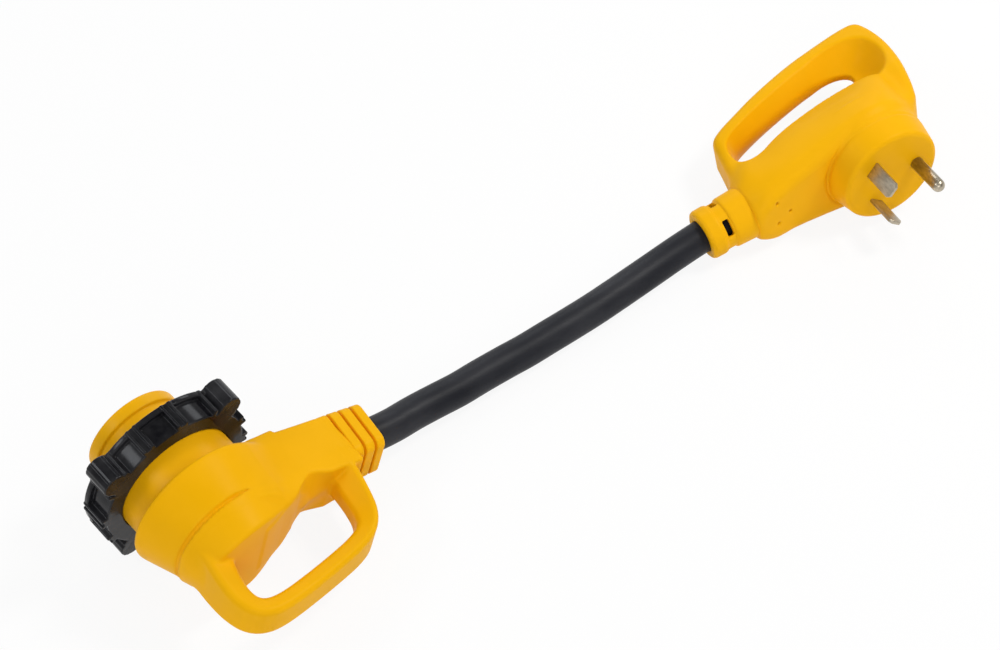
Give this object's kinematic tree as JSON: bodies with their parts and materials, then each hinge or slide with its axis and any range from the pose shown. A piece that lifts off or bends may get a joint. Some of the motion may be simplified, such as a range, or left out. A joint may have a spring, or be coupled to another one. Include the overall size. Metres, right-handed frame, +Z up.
{
  "type": "power adapter dogbone",
  "caption": "Short heavy cord with a hooded-handle three-prong plug at one end and a right-angle locking connector with a threaded lobed ring at the other.",
  "frame": {"origin": "centre of the bounding box of the two heads (the cord left out) at the level they rest on", "axes": "+X from the connector to the plug, +Z up from the surface it lies on, +Y to the grip side of the plug"},
  "size_m": [0.4667, 0.1848, 0.0794],
  "materials": {
    "yellow_moulding": "satin, moulded over the parts inside",
    "yellow_barrel": "satin",
    "grey_carrier": "matt, glass-filled nylon",
    "black_insert": "matt, glass-filled nylon",
    "plated_prong": "nickel plated, dull with brighter cut ends",
    "contact_brass": "bright, stamped",
    "cord_rubber": "smooth, low sheen",
    "black_insulation": "smooth",
    "white_insulation": "smooth",
    "green_insulation": "smooth",
    "copper": "bare stranded copper",
    "screw_steel": "zinc plated",
    "seal_rubber": "matt",
    "black_ring": "gloss, moulded"
  },
  "bodies": {
    "adapter": {"plug_overmold": "yellow_moulding", "plug_blade_carrier": "grey_carrier", "hot_blade": "plated_prong", "neutral_blade": "plated_prong", "ground_pin": "plated_prong", "plug_hot_crimp": "contact_brass", "plug_neutral_crimp": "contact_brass", "plug_ground_crimp": "contact_brass", "cord_jacket": "cord_rubber", "hot_insulation": "black_insulation", "neutral_insulation": "white_insulation", "ground_insulation": "green_insulation", "hot_copper": "copper", "neutral_copper": "copper", "ground_copper": "copper", "connector_overmold": "yellow_moulding", "connector_barrel": "yellow_barrel", "contact_insert": "black_insert", "contact_x": "contact_brass", "contact_y": "contact_brass", "contact_neutral": "contact_brass", "ground_socket": "contact_brass", "contact_backplate": "grey_carrier", "backplate_screws": "screw_steel", "hot_jumper": "contact_brass", "connector_hot_crimp": "contact_brass", "connector_neutral_crimp": "contact_brass", "connector_ground_crimp": "contact_brass"},
    "seal": {"ring_seal": "seal_rubber"},
    "ring": {"locking_ring": "black_ring"}
  },
  "joints": [
    {"name": "ring_slide", "type": "slide", "parent": "adapter", "child": "seal", "axis": [-0.2532, 0.962, 0.1022], "range_m": [-0.009, 0]},
    {"name": "ring_spin", "type": "hinge", "parent": "seal", "child": "ring", "pos_m": [-0.19429, -0.00002, 0.03995], "axis": [-0.2532, 0.962, 0.1022], "continuous": true}
  ]
}
